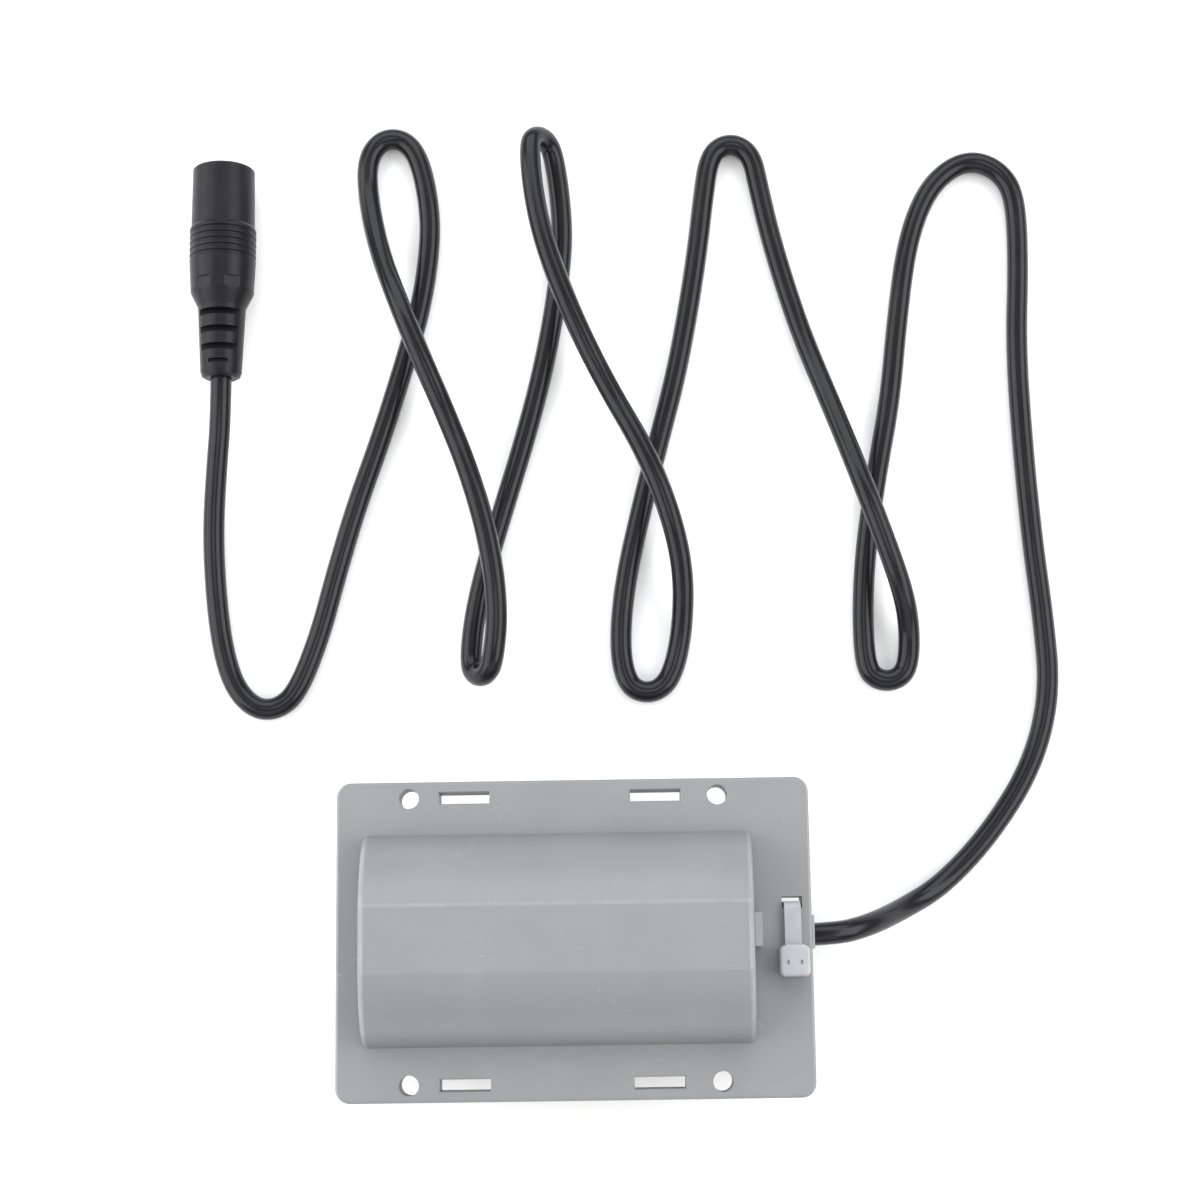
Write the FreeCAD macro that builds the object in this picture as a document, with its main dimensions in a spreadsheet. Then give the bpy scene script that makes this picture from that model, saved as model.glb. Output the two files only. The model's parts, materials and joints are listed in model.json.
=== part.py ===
"""Vibration motor in a two-part moulded housing, with its lead and a moulded power socket.

Frame: millimetres, +X along the motor shaft towards the lead, +Z up, origin at the middle of
the flange's outline on the plane that the housing stands on.
"""

import FreeCAD, Part
import math
import os

import Sketcher

V = FreeCAD.Vector
doc = FreeCAD.newDocument("vibration_motor")

# ---------------------------------------------------------------- driving dimensions
SIZES = {
    # housing
    "flange_length": 75.0,
    "flange_width": 50.0,
    "flange_corner": 2.3,
    "flange_thickness": 3.0,
    "flange_round": 0.5,
    "half_height": 16.0,
    "crown_cut": 0.8,
    "crown_round": 2.5,
    "shell_wall": 2.0,
    "left_ledge": 4.15,
    "right_ledge": 9.15,
    "end_draft": 3.0,
    "end_fillet": 1.2,
    "hole_diameter": 3.2,
    "hole_inset_x": 13.0,
    "hole_inset_y": 2.65,
    "hole_shift": -1.5,
    "slot_length": 8.0,
    "slot_width": 1.8,
    "slot_to_hole": 9.3,
    "slot_shift": -2.0,
    "slot_bevel": 0.15,
    "rib_width": 2.0,
    "rib_inset": 4.4,
    "post_diameter": 2.4,
    "post_height": 1.6,
    "post_inset": 5.0,
    "post_clearance": 0.05,
    "lead_guard_length": 1.2,
    "lead_guard_width": 5.3,
    "lead_guard_rise": 2.2,
    "lead_guard_shift": 1.0,
    "lip_length": 0.4,
    "lip_width": 5.2,
    # cable tie
    "tie_inset": 3.1,
    "tie_width": 2.6,
    "tie_thickness": 1.0,
    "tie_slot_gap": 9.3,
    "tie_slot_centre": 0.55,
    "tie_slot_play": 0.3,
    "tie_slot_width": 1.8,
    "tie_head_length": 4.8,
    "tie_head_width": 5.0,
    "tie_head_height": 3.4,
    "tie_head_shift": 0.2,
    "tie_shoulder": 0.55,
    "tie_nick": 0.35,
    # motor
    "motor_offset": -1.9,
    "can_radius": 12.0,
    "end_room": 4.5,
    "can_wall": 1.0,
    "can_fillet": 1.5,
    "cap_thickness": 2.8,
    "boss_radius": 3.2,
    "boss_length": 1.6,
    "bearing_radius": 2.4,
    "bearing_length": 3.0,
    "seat_clearance": 0.05,
    "magnet_thickness": 1.65,
    "magnet_front_gap": 2.4,
    "magnet_rear_gap": 9.4,
    "magnet_span": 120.0,
    "clip_thickness": 0.4,
    # rotor
    "shaft_radius": 1.15,
    "shaft_clearance": 0.03,
    "shaft_stub": 0.6,
    "air_gap": 0.4,
    "core_inset": 3.0,
    "core_hub_radius": 3.0,
    "tooth_width": 2.8,
    "shoe_thickness": 1.3,
    "shoe_gap": 1.6,
    "coil_foot": 0.6,
    "coil_build": 2.2,
    "commutator_radius": 2.7,
    "commutator_length": 5.4,
    "commutator_inset": 8.2,
    "bar_thickness": 0.7,
    "bar_gap": 0.4,
    "brush_length": 2.2,
    "brush_width": 2.0,
    "brush_height": 2.4,
    "brush_clearance": 0.08,
    "arm_thickness": 0.4,
    "terminal_inset": 4.0,
    "terminal_reach": 2.6,
    "weight_play": 1.85,
    "weight_thickness": 7.6,
    "weight_hub_radius": 4.2,
    "front_weight_gap": 0.8,
    "rear_weight_gap": 2.0,
    "end_play": 0.2,
    "spacer_radius": 2.2,
    # lead and wires
    "lead_diameter": 3.6,
    "lead_clearance": 0.05,
    "wire_diameter": 1.1,
    "wire_play": 0.9,
    # power socket
    "socket_x": -59.2,
    "socket_y": 95.5,
    "socket_height": 5.7,
    "socket_length": 37.2,
    "front_radius": 5.3,
    "grip_radius": 5.65,
    "shoulder_radius": 5.35,
    "relief_radius": 4.05,
    "relief_end_radius": 3.5,
    "relief_length": 12.4,
    "shoulder_length": 2.4,
    "grip_length": 11.8,
    "groove_first": 4.9,
    "groove_pitch": 3.05,
    "groove_width": 1.1,
    "groove_web": 0.2,
    "vent_place": 2.4,
    "vent_length": 3.4,
    "vent_width": 0.7,
    "vent_depth": 0.75,
    "flat_place": 15.5,
    "flat_length": 2.8,
    "flat_angle": 28.0,
    "flat_depth": 0.17,
    "ring_count": 5,
    "ring_pitch": 1.1,
    "ring_depth": 0.22,
    "insert_radius": 4.3,
    "insert_depth": 15.0,
    "barrel_radius": 3.0,
    "barrel_depth": 10.0,
    "pin_radius": 1.0,
    "pin_root_radius": 1.3,
    "pin_recess": 0.8,
    "pin_lead_in": 0.4,
    "spring_width": 1.8,
    "spring_thickness": 0.35,
}

sheet = doc.addObject("Spreadsheet::Sheet", "sizes")
for row, (alias, number) in enumerate(SIZES.items(), start=1):
    sheet.set(f"A{row}", alias)
    sheet.set(f"B{row}", str(number))
    sheet.setAlias(f"B{row}", alias)
doc.recompute()

# Lengths that follow from the driving ones, as expressions of their aliases.
FOLLOWS = {
    # housing
    "shell_radius": "half_height + crown_cut",
    "cavity_radius": "shell_radius - shell_wall",
    "dome_length": "flange_length - left_ledge - right_ledge",
    "dome_left": "left_ledge - flange_length / 2",
    "dome_right": "flange_length / 2 - right_ledge",
    "hole_spacing_x": "flange_length - 2 * hole_inset_x",
    "hole_spacing_y": "flange_width - 2 * hole_inset_y",
    "slot_spacing": "hole_spacing_x - 2 * slot_to_hole",
    "tie_shift": "flange_length / 2 - tie_inset",
    # motor: its length fills the room that the housing leaves
    "motor_shift": "(dome_left + dome_right) / 2 + motor_offset",
    "can_inside": "can_radius - can_wall",
    "weight_room": "2 * weight_thickness + front_weight_gap + rear_weight_gap",
    "can_length": "dome_length - 2 * (shell_wall + boss_length + shaft_stub) - weight_room - end_room",
    "can_front": "0 - can_length / 2",
    "can_rear": "can_length / 2",
    "terminal_offset": "can_radius - terminal_inset",
    "rib_pitch": "can_length / 2 - rib_inset",
    "magnet_outside": "can_inside - seat_clearance",
    "magnet_radius": "magnet_outside - magnet_thickness",
    "magnet_start": "can_front + can_wall + magnet_front_gap",
    "magnet_end": "can_rear - magnet_rear_gap",
    "magnet_length": "magnet_end - magnet_start",
    "magnet_shift": "(magnet_start + magnet_end) / 2",
    # rotor
    "core_radius": "magnet_radius - air_gap",
    "core_length": "magnet_length - 2 * core_inset",
    "commutator_shift": "can_rear - commutator_inset",
    "weight_radius": "cavity_radius - weight_play",
    "front_weight_start": "can_front - boss_length - front_weight_gap - weight_thickness",
    "rear_weight_start": "can_rear + boss_length + rear_weight_gap",
    # wires
    "wire_lane": "cavity_radius - wire_play",
}


# ---------------------------------------------------------------- helpers
def words(expression):
    """Puts the sheet's name before each alias, and spells out each length that follows."""
    out = []
    token = ""
    for letter in expression + " ":
        if letter.isalnum() or letter == "_":
            token += letter
            continue
        if token in FOLLOWS:
            out.append(f"({words(FOLLOWS[token])})")
        else:
            out.append(f"sizes.{token}" if token in SIZES else token)
        token = ""
        out.append(letter)
    return "".join(out).strip()


def value(expression):
    """The number that an expression of sheet aliases gives now."""
    return float(sheet.evalExpression(words(expression)))


def bind(thing, **expressions):
    """Binds properties to expressions; a double underscore in a name stands for a dot."""
    for name, expression in expressions.items():
        thing.setExpression(name.replace("__", "."), words(expression))


def new_body(label, along="0", across="0", up="half_height"):
    """A body whose own origin lies on the motor shaft's line, unless told otherwise."""
    body = doc.addObject("PartDesign::Body", label)
    body.Label = label
    bind(body, Placement__Base__x=along, Placement__Base__y=across, Placement__Base__z=up)
    return body


def new_sketch(body, role, name, offset="0"):
    """A sketch on one of the body's own origin planes, moved along that plane's normal."""
    sketch = body.newObject("Sketcher::SketchObject", name)
    plane = next(f for f in body.Origin.OriginFeatures if f.Role == role)
    sketch.AttachmentSupport = [(plane, "")]
    sketch.MapMode = "FlatFace"
    bind(sketch, AttachmentOffset__Base__z=offset)
    return sketch


def pin_point(sketch, geo, point, across, up):
    """Fixes one point of a sketch to two expressions, measured from its origin."""
    for kind, expression in (("DistanceX", across), ("DistanceY", up)):
        number = sketch.addConstraint(
            Sketcher.Constraint(kind, -1, 1, geo, point, value(expression))
        )
        sketch.setExpression(f"Constraints[{number}]", words(expression))


def outline(sketch, points):
    """A closed outline of straight lines through points, each a pair of expressions."""
    where = [V(value(a), value(b), 0) for a, b in points]
    first = sketch.GeometryCount
    count = len(where)
    for i in range(count):
        sketch.addGeometry(Part.LineSegment(where[i], where[(i + 1) % count]), False)
    for i in range(count):
        sketch.addConstraint(
            Sketcher.Constraint("Coincident", first + i, 2, first + (i + 1) % count, 1)
        )
    for i, (across, up) in enumerate(points):
        pin_point(sketch, first + i, 1, across, up)


def rectangle(sketch, across, up, width, height):
    """A rectangle about a centre; all four are expressions."""
    left, right = f"({across}) - ({width}) / 2", f"({across}) + ({width}) / 2"
    low, high = f"({up}) - ({height}) / 2", f"({up}) + ({height}) / 2"
    outline(sketch, [(left, low), (right, low), (right, high), (left, high)])


def circle(sketch, across, up, radius):
    """A circle about a centre; all three are expressions."""
    geo = sketch.addGeometry(
        Part.Circle(V(value(across), value(up), 0), V(0, 0, 1), value(radius)), False
    )
    pin_point(sketch, geo, 3, across, up)
    number = sketch.addConstraint(Sketcher.Constraint("Radius", geo, value(radius)))
    sketch.setExpression(f"Constraints[{number}]", words(radius))


def sector(sketch, inner, outer, middle, span):
    """A ring sector about the sketch's origin: radii in mm, middle and span in degrees."""
    low, high = f"({middle}) - ({span}) / 2", f"({middle}) + ({span}) / 2"
    angles = [math.radians(value(low)), math.radians(value(high))]
    arcs = []
    for radius in (inner, outer):
        whole = Part.Circle(V(0, 0, 0), V(0, 0, 1), value(radius))
        geo = sketch.addGeometry(Part.ArcOfCircle(whole, *angles), False)
        sketch.addConstraint(Sketcher.Constraint("Coincident", geo, 3, -1, 1))
        number = sketch.addConstraint(Sketcher.Constraint("Radius", geo, value(radius)))
        sketch.setExpression(f"Constraints[{number}]", words(radius))
        arcs.append(geo)
    for end, angle, expression in zip((1, 2), angles, (low, high)):
        ray = V(math.cos(angle), math.sin(angle), 0)
        side = Part.LineSegment(ray * value(inner), ray * value(outer))
        geo = sketch.addGeometry(side, False)
        sketch.addConstraint(Sketcher.Constraint("Coincident", geo, 1, arcs[0], end))
        sketch.addConstraint(Sketcher.Constraint("Coincident", geo, 2, arcs[1], end))
        sketch.addConstraint(Sketcher.Constraint("PointOnObject", -1, 1, geo))
        number = sketch.addConstraint(Sketcher.Constraint("Angle", geo, angle))
        sketch.setExpression(f"Constraints[{number}]", words(f"({expression}) * 1deg"))


def arch(sketch, radius, top, foot="0"):
    """Half a circle cut flat at the top, standing on the sketch's horizontal axis."""
    r, t, f = value(radius), value(top), value(foot)
    side = math.sqrt(r * r - f * f)
    half = math.sqrt(r * r - t * t)
    whole = Part.Circle(V(0, 0, 0), V(0, 0, 1), r)
    right = sketch.addGeometry(
        Part.ArcOfCircle(whole, math.atan2(f, side), math.atan2(t, half)), False
    )
    flat = sketch.addGeometry(Part.LineSegment(V(half, t, 0), V(-half, t, 0)), False)
    left = sketch.addGeometry(
        Part.ArcOfCircle(whole, math.atan2(t, -half), math.atan2(f, -side)), False
    )
    base = sketch.addGeometry(Part.LineSegment(V(-side, f, 0), V(side, f, 0)), False)
    for geo in (right, left):
        sketch.addConstraint(Sketcher.Constraint("Coincident", geo, 3, -1, 1))
        number = sketch.addConstraint(Sketcher.Constraint("Radius", geo, r))
        sketch.setExpression(f"Constraints[{number}]", words(radius))
    around = (right, flat, left, base)
    for piece, following in zip(around, around[1:] + around[:1]):
        sketch.addConstraint(Sketcher.Constraint("Coincident", piece, 2, following, 1))
    for geo, height in ((flat, top), (base, foot)):
        sketch.addConstraint(Sketcher.Constraint("Horizontal", geo))
        number = sketch.addConstraint(
            Sketcher.Constraint("DistanceY", -1, 1, geo, 1, value(height))
        )
        sketch.setExpression(f"Constraints[{number}]", words(height))


def pad(body, sketch, name, length, middle=False, backwards=False):
    feature = body.newObject("PartDesign::Pad", name)
    feature.Profile = sketch
    bind(feature, Length=length)
    feature.Midplane = middle
    feature.Reversed = backwards
    sketch.Visibility = False
    doc.recompute()
    return feature


def pocket(body, sketch, name, length=None, middle=False, backwards=False):
    """A pocket that must take something away, through all when it has no length."""
    before = body.Shape.Volume
    feature = body.newObject("PartDesign::Pocket", name)
    feature.Profile = sketch
    if length is None:
        feature.Type = "ThroughAll"
    else:
        bind(feature, Length=length)
    feature.Midplane = middle
    feature.Reversed = backwards
    sketch.Visibility = False
    doc.recompute()
    if body.Shape.Volume > before - 1e-3:
        raise RuntimeError(f"{body.Label}.{name} cuts nothing")
    return feature


def spin(body, sketch, name, kind="PartDesign::Revolution", axis="H_Axis"):
    feature = body.newObject(kind, name)
    feature.Profile = sketch
    feature.ReferenceAxis = (sketch, [axis])
    feature.Angle = 360
    sketch.Visibility = False
    doc.recompute()
    return feature


def edges_where(feature, test):
    """The names of a feature's edges whose middle and ends all pass a test."""
    names = []
    for number, edge in enumerate(feature.Shape.Edges, start=1):
        points = [v.Point for v in edge.Vertexes]
        points.append(edge.valueAt((edge.FirstParameter + edge.LastParameter) / 2))
        if all(test(p) for p in points):
            names.append(f"Edge{number}")
    return names


def dress(body, base, kind, name, edges, **expressions):
    feature = body.newObject(kind, name)
    feature.Base = (base, edges)
    bind(feature, **expressions)
    doc.recompute()
    return feature


FILLET = "PartDesign::Fillet"
CHAMFER = "PartDesign::Chamfer"


def near(a, b, within=1e-3):
    return abs(a - b) < within


# ---------------------------------------------------------------- housing halves
HOLE_PLACES = [
    (f"hole_shift {a} hole_spacing_x / 2", f"{b} hole_spacing_y / 2")
    for a in "-+"
    for b in ("0 -", "0 +")
]
POST_PLACES = [
    (f"{a} (flange_length / 2 - post_inset)", f"{b} hole_spacing_y / 2")
    for a in ("0 -", "0 +")
    for b in ("0 -", "0 +")
]


def shell_half(label, side):
    """One half of the housing, modelled with the parting plane at its own z = 0.

    side is 1 for the upper half and -1 for the lower, which is turned over about X.
    """
    body = new_body(label)
    if side < 0:
        body.Placement.Rotation = FreeCAD.Rotation(V(1, 0, 0), 180)
        bind(body, Placement__Base__z="half_height")

    plan = new_sketch(body, "XY_Plane", f"{label}_flange_plan")
    rectangle(plan, "0", "0", "flange_length", "flange_width")
    flange = pad(body, plan, f"{label}_flange", "flange_thickness")
    corners = edges_where(
        flange,
        lambda p: near(abs(p.x), value("flange_length / 2")) and near(abs(p.y), value("flange_width / 2")),
    )
    flange = dress(body, flange, FILLET, f"{label}_corners", corners, Radius="flange_corner")
    rim = edges_where(flange, lambda p: near(p.z, value("flange_thickness")))
    dress(body, flange, FILLET, f"{label}_flange_round", rim, Radius="flange_round")

    lip = new_sketch(body, "XY_Plane", f"{label}_lip_plan")
    rectangle(
        lip,
        "flange_length / 2",
        f"{side} * tie_slot_centre",
        "lip_length * 2",
        "lip_width",
    )
    pad(body, lip, f"{label}_lip", "flange_thickness - flange_round")

    dome = new_sketch(body, "YZ_Plane", f"{label}_dome_profile", "dome_left")
    arch(dome, "shell_radius", "half_height")
    pad(body, dome, f"{label}_dome", "dome_length")

    # the end walls lean in by the mould's draft
    draft = new_sketch(body, "XZ_Plane", f"{label}_draft_profile")
    lean = "(half_height - flange_thickness) * tan(end_draft * 1deg)"
    for end, sign in (("dome_left", "+"), ("dome_right", "-")):
        out = "-" if sign == "+" else "+"
        outline(
            draft,
            [
                (end, "flange_thickness"),
                (f"{end} {sign} {lean}", "half_height"),
                (f"{end} {sign} {lean}", "half_height + 1"),
                (f"{end} {out} 1", "half_height + 1"),
                (f"{end} {out} 1", "flange_thickness"),
            ],
        )
    drafted = pocket(body, draft, f"{label}_draft", middle=True)
    left, right = value("dome_left"), value("dome_right")
    peak = value("half_height")

    def on_crease(p):
        return near(p.z, peak) and near(math.hypot(p.y, p.z), value("shell_radius"))

    creases = edges_where(drafted, on_crease)
    drafted = dress(body, drafted, FILLET, f"{label}_crown_rounds", creases, Radius="crown_round")
    slope = math.tan(math.radians(value("end_draft")))

    def on_end_rim(p):
        rise = p.z - value("flange_thickness")
        if rise < -1e-3:
            return False
        on_wall = near(p.x, left + rise * slope) or near(p.x, right - rise * slope)
        return on_wall and math.hypot(p.y, p.z) > peak - 1e-3

    rims = edges_where(drafted, on_end_rim)
    dress(body, drafted, FILLET, f"{label}_end_fillets", rims, Radius="end_fillet")

    if side > 0:
        guard = new_sketch(body, "XY_Plane", f"{label}_lead_guard_plan")
        rectangle(
            guard,
            "dome_right + lead_guard_length / 2 - shell_wall / 2",
            "lead_guard_shift",
            "lead_guard_length + shell_wall",
            "lead_guard_width",
        )
        pad(body, guard, f"{label}_lead_guard", "flange_thickness + lead_guard_rise")

    cavity = new_sketch(body, "YZ_Plane", f"{label}_cavity_profile", "dome_left + shell_wall")
    arch(cavity, "cavity_radius", "half_height - shell_wall")
    pocket(body, cavity, f"{label}_cavity", "dome_length - 2 * shell_wall", backwards=True)

    # three cradle ribs carry the motor's can
    rib = new_sketch(body, "YZ_Plane", f"{label}_rib_profile", "motor_shift - rib_pitch - rib_width / 2")
    sector(
        rib,
        "can_radius + seat_clearance",
        "shell_radius - shell_wall / 2",
        "90",
        "180",
    )
    rib_pad = pad(body, rib, f"{label}_rib", "rib_width")
    ribs = body.newObject("PartDesign::LinearPattern", f"{label}_ribs")
    ribs.Originals = [rib_pad]
    ribs.Direction = (next(f for f in body.Origin.OriginFeatures if f.Role == "X_Axis"), [""])
    ribs.Occurrences = 3
    bind(ribs, Length="2 * rib_pitch")
    body.Tip = ribs
    doc.recompute()

    channel = new_sketch(body, "YZ_Plane", f"{label}_channel_profile", "dome_right - shell_wall - 1")
    circle(channel, "0", "0", "lead_diameter / 2 + lead_clearance")
    pocket(body, channel, f"{label}_channel", "flange_length", backwards=True)

    holes = new_sketch(body, "XY_Plane", f"{label}_hole_plan", "flange_thickness")
    for across, up in HOLE_PLACES:
        circle(holes, across, up, "hole_diameter / 2")
    pocket(body, holes, f"{label}_holes")

    slots = new_sketch(body, "XY_Plane", f"{label}_slot_plan", "flange_thickness")
    for a in "-+":
        for b in ("0 -", "0 +"):
            rectangle(
                slots,
                f"slot_shift {a} slot_spacing / 2",
                f"{b} hole_spacing_y / 2",
                "slot_length",
                "slot_width",
            )
    slotted = pocket(body, slots, f"{label}_slots")
    mouth = value("flange_thickness")
    half_slot = value("slot_width") / 2
    lane = value("hole_spacing_y") / 2
    inner = value("slot_spacing") / 2 + value("slot_length") / 2

    def on_slot_mouth(p):
        return (
            near(p.z, mouth)
            and near(abs(p.y), lane, half_slot + 1e-3)
            and abs(p.x - value("slot_shift")) < inner + 1e-3
        )

    mouths = edges_where(slotted, on_slot_mouth)
    dress(body, slotted, CHAMFER, f"{label}_slot_bevels", mouths, Size="slot_bevel")

    tie_slots = new_sketch(body, "XY_Plane", f"{label}_tie_slot_plan", "flange_thickness")
    for sign in "-+":
        rectangle(
            tie_slots,
            "tie_shift",
            f"{side} * (tie_slot_centre {sign} tie_slot_gap / 2)",
            "tie_width + 2 * tie_slot_play",
            "tie_slot_width",
        )
    pocket(body, tie_slots, f"{label}_tie_slots")

    if side > 0:
        sockets = new_sketch(body, "XY_Plane", f"{label}_socket_plan")
        for across, up in POST_PLACES:
            circle(sockets, across, up, "post_diameter / 2 + post_clearance")
        pocket(body, sockets, f"{label}_sockets", "post_height + 2 * post_clearance", backwards=True)
    else:
        posts = new_sketch(body, "XY_Plane", f"{label}_post_plan")
        for across, up in POST_PLACES:
            circle(posts, across, up, "post_diameter / 2")
        pad(body, posts, f"{label}_posts", "post_height", backwards=True)
    return body


upper_shell = shell_half("upper_shell", 1)
lower_shell = shell_half("lower_shell", -1)

# ---------------------------------------------------------------- cable tie
# pulled tight, the strap lies against the slots' inner sides
TIE_INNER = "(tie_slot_gap / 2 - tie_slot_width / 2 + seat_clearance)"
TIE_OUTER = f"({TIE_INNER} + tie_thickness)"
TIE_HEAD_Y = "(tie_head_shift - tie_slot_gap / 2)"
TIE_TOP = "flange_thickness + seat_clearance + tie_head_height"


def cable_tie():
    """A closed strap through both slots and round the flange, with its head on top."""
    body = new_body("cable_tie", "tie_shift", "tie_slot_centre")
    loop = new_sketch(body, "YZ_Plane", "tie_loop_profile")
    rise = "flange_thickness + tie_thickness + seat_clearance"
    rectangle(loop, "0", "0", f"2 * {TIE_OUTER}", f"2 * ({rise})")
    rectangle(loop, "0", "0", f"2 * {TIE_INNER}", "2 * (flange_thickness + seat_clearance)")
    strap = pad(body, loop, "tie_loop", "tie_width", middle=True)
    outer_y, outer_z = value(TIE_OUTER), value(rise)
    bends = edges_where(strap, lambda p: near(abs(p.y), outer_y) and near(abs(p.z), outer_z))
    dress(body, strap, FILLET, "tie_bends", bends, Radius="tie_thickness * 1.4")
    plan = new_sketch(body, "XY_Plane", "tie_head_plan", "flange_thickness + seat_clearance")
    low, high = f"{TIE_HEAD_Y} - tie_head_width / 2", f"{TIE_HEAD_Y} + tie_head_width / 2"
    outline(
        plan,
        [
            ("0 - tie_head_length / 2", low),
            ("tie_head_length / 2", low),
            ("tie_head_length / 2", f"{high} - tie_shoulder"),
            ("tie_width / 2", high),
            ("0 - tie_width / 2", high),
            ("0 - tie_head_length / 2", f"{high} - tie_shoulder"),
        ],
    )
    head = pad(body, plan, "tie_head", "tie_head_height")
    side, foot, toe = value("tie_head_length / 2"), value("flange_thickness + seat_clearance"), value(low)
    shoulder = value(f"{high} - tie_shoulder")

    def on_corner(p):
        return near(abs(p.x), side) and near(p.y, toe) and p.z > foot - 1e-3

    def on_shoulder(p):
        return near(abs(p.x), side) and near(p.y, shoulder) and p.z > foot - 1e-3

    corners = edges_where(head, on_corner)
    head = dress(body, head, FILLET, "tie_head_corners", corners, Radius="tie_head_width / 6")
    shoulders = edges_where(head, on_shoulder)
    head = dress(body, head, FILLET, "tie_head_shoulders", shoulders, Radius="tie_head_width / 8")
    top = value(TIE_TOP)
    crown = edges_where(head, lambda p: near(p.z, top))
    dress(body, head, FILLET, "tie_head_crown", crown, Radius="tie_head_width / 10")
    # the moulder's two nicks beside the pawl
    nicks = new_sketch(body, "XY_Plane", "tie_nick_plan", TIE_TOP)
    for sign in "-+":
        rectangle(
            nicks,
            f"0 {sign} tie_head_length * 0.22",
            f"{TIE_HEAD_Y} - tie_head_width * 0.06",
            "tie_nick",
            "tie_nick * 1.8",
        )
    pocket(body, nicks, "tie_nicks", "tie_nick")
    return body


tie = cable_tie()

# ---------------------------------------------------------------- motor, fixed parts
# In these bodies the own origin is the middle of the can's length, on the shaft's line.


def turned(label, points, along="motor_shift"):
    """A body turned about the shaft from an outline of (along, radius) expressions."""
    body = new_body(label, along)
    sketch = new_sketch(body, "XZ_Plane", f"{label}_profile")
    outline(sketch, points)
    return body, spin(body, sketch, f"{label}_turned")


def motor_can():
    body, cup = turned(
        "motor_can",
        [
            ("can_front - boss_length", "bearing_radius"),
            ("can_front - boss_length", "boss_radius"),
            ("can_front", "boss_radius"),
            ("can_front", "can_radius"),
            ("can_rear", "can_radius"),
            ("can_rear", "can_inside"),
            ("can_front + can_wall", "can_inside"),
            ("can_front + can_wall", "bearing_radius"),
        ],
    )
    front, radius = value("can_front"), value("can_radius")

    def on_shoulder(p):
        return near(p.x, front) and near(math.hypot(p.y, p.z), radius)

    shoulder = edges_where(cup, on_shoulder)
    dress(body, cup, FILLET, "can_shoulder", shoulder, Radius="can_fillet")
    vents = new_sketch(body, "YZ_Plane", "can_vent_plan", "can_front")
    for angle in (0, 180):
        sector(vents, "can_radius * 0.45", "can_radius * 0.7", str(angle), "60")
    pocket(body, vents, "can_vents", "can_wall + 0.01", backwards=True)
    return body


def motor_end_cap():
    body, disc = turned(
        "motor_end_cap",
        [
            ("can_rear - cap_thickness", "bearing_radius"),
            ("can_rear - cap_thickness", "magnet_outside"),
            ("can_rear", "magnet_outside"),
            ("can_rear", "boss_radius"),
            ("can_rear + boss_length", "boss_radius"),
            ("can_rear + boss_length", "bearing_radius"),
        ],
    )
    slots = new_sketch(body, "YZ_Plane", "cap_terminal_slots", "can_rear")
    for sign in "-+":
        rectangle(
            slots,
            f"0 {sign} (terminal_offset - arm_thickness / 2)",
            "0",
            "arm_thickness + 2 * seat_clearance",
            "brush_height + 2 * seat_clearance",
        )
    pocket(body, slots, "cap_slots")
    return body


def bearing(label, middle):
    body, _ = turned(
        label,
        [
            (f"{middle} - bearing_length / 2", "shaft_radius + shaft_clearance"),
            (f"{middle} - bearing_length / 2", "bearing_radius"),
            (f"{middle} + bearing_length / 2", "bearing_radius"),
            (f"{middle} + bearing_length / 2", "shaft_radius + shaft_clearance"),
        ],
    )
    return body


def field_magnet(label, middle):
    body = new_body(label, "motor_shift")
    arc = new_sketch(body, "YZ_Plane", f"{label}_profile", "magnet_shift - magnet_length / 2")
    sector(arc, "magnet_radius", "magnet_outside", middle, "magnet_span")
    pad(body, arc, f"{label}_arc", "magnet_length")
    return body


def magnet_clip(label, middle):
    """A sprung strip that keeps the two magnets apart on one side of the can."""
    body = new_body(label, "motor_shift")
    strip = new_sketch(body, "YZ_Plane", f"{label}_profile", "magnet_shift - magnet_length / 2")
    sector(
        strip,
        "magnet_outside - clip_thickness",
        "magnet_outside",
        middle,
        "180 - magnet_span - 4",
    )
    pad(body, strip, f"{label}_strip", "magnet_length")
    return body


def brush(label, sign):
    """A carbon block whose face is hollowed to run on the commutator."""
    body = new_body(label, "motor_shift + commutator_shift")
    block = new_sketch(body, "XY_Plane", f"{label}_plan")
    rectangle(
        block,
        "0",
        f"{sign} * (commutator_radius + brush_clearance / 2 + brush_length / 2)",
        "brush_width",
        "brush_length",
    )
    pad(body, block, f"{label}_block", "brush_height", middle=True)
    face = new_sketch(body, "YZ_Plane", f"{label}_face")
    circle(face, "0", "0", "commutator_radius + brush_clearance")
    pocket(body, face, f"{label}_hollow", middle=True)
    return body


def brush_terminal(label, sign):
    """A sprung strip that presses a brush, turns out along the cap and leaves through it."""
    body = new_body(label, "motor_shift")
    strip = new_sketch(body, "XY_Plane", f"{label}_plan")
    back = "commutator_radius + brush_clearance / 2 + brush_length"
    start = "commutator_shift - brush_width / 2 - seat_clearance"
    bend = "can_rear - cap_thickness"
    end = "can_rear + terminal_reach"
    side = f"{sign} * "
    outline(
        strip,
        [
            (start, f"{side}({back})"),
            (start, f"{side}({back} + arm_thickness)"),
            (f"{bend} - arm_thickness", f"{side}({back} + arm_thickness)"),
            (f"{bend} - arm_thickness", f"{side}terminal_offset"),
            (end, f"{side}terminal_offset"),
            (end, f"{side}(terminal_offset - arm_thickness)"),
            (bend, f"{side}(terminal_offset - arm_thickness)"),
            (bend, f"{side}({back})"),
        ],
    )
    pad(body, strip, f"{label}_strip", "brush_height", middle=True)
    return body


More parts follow.
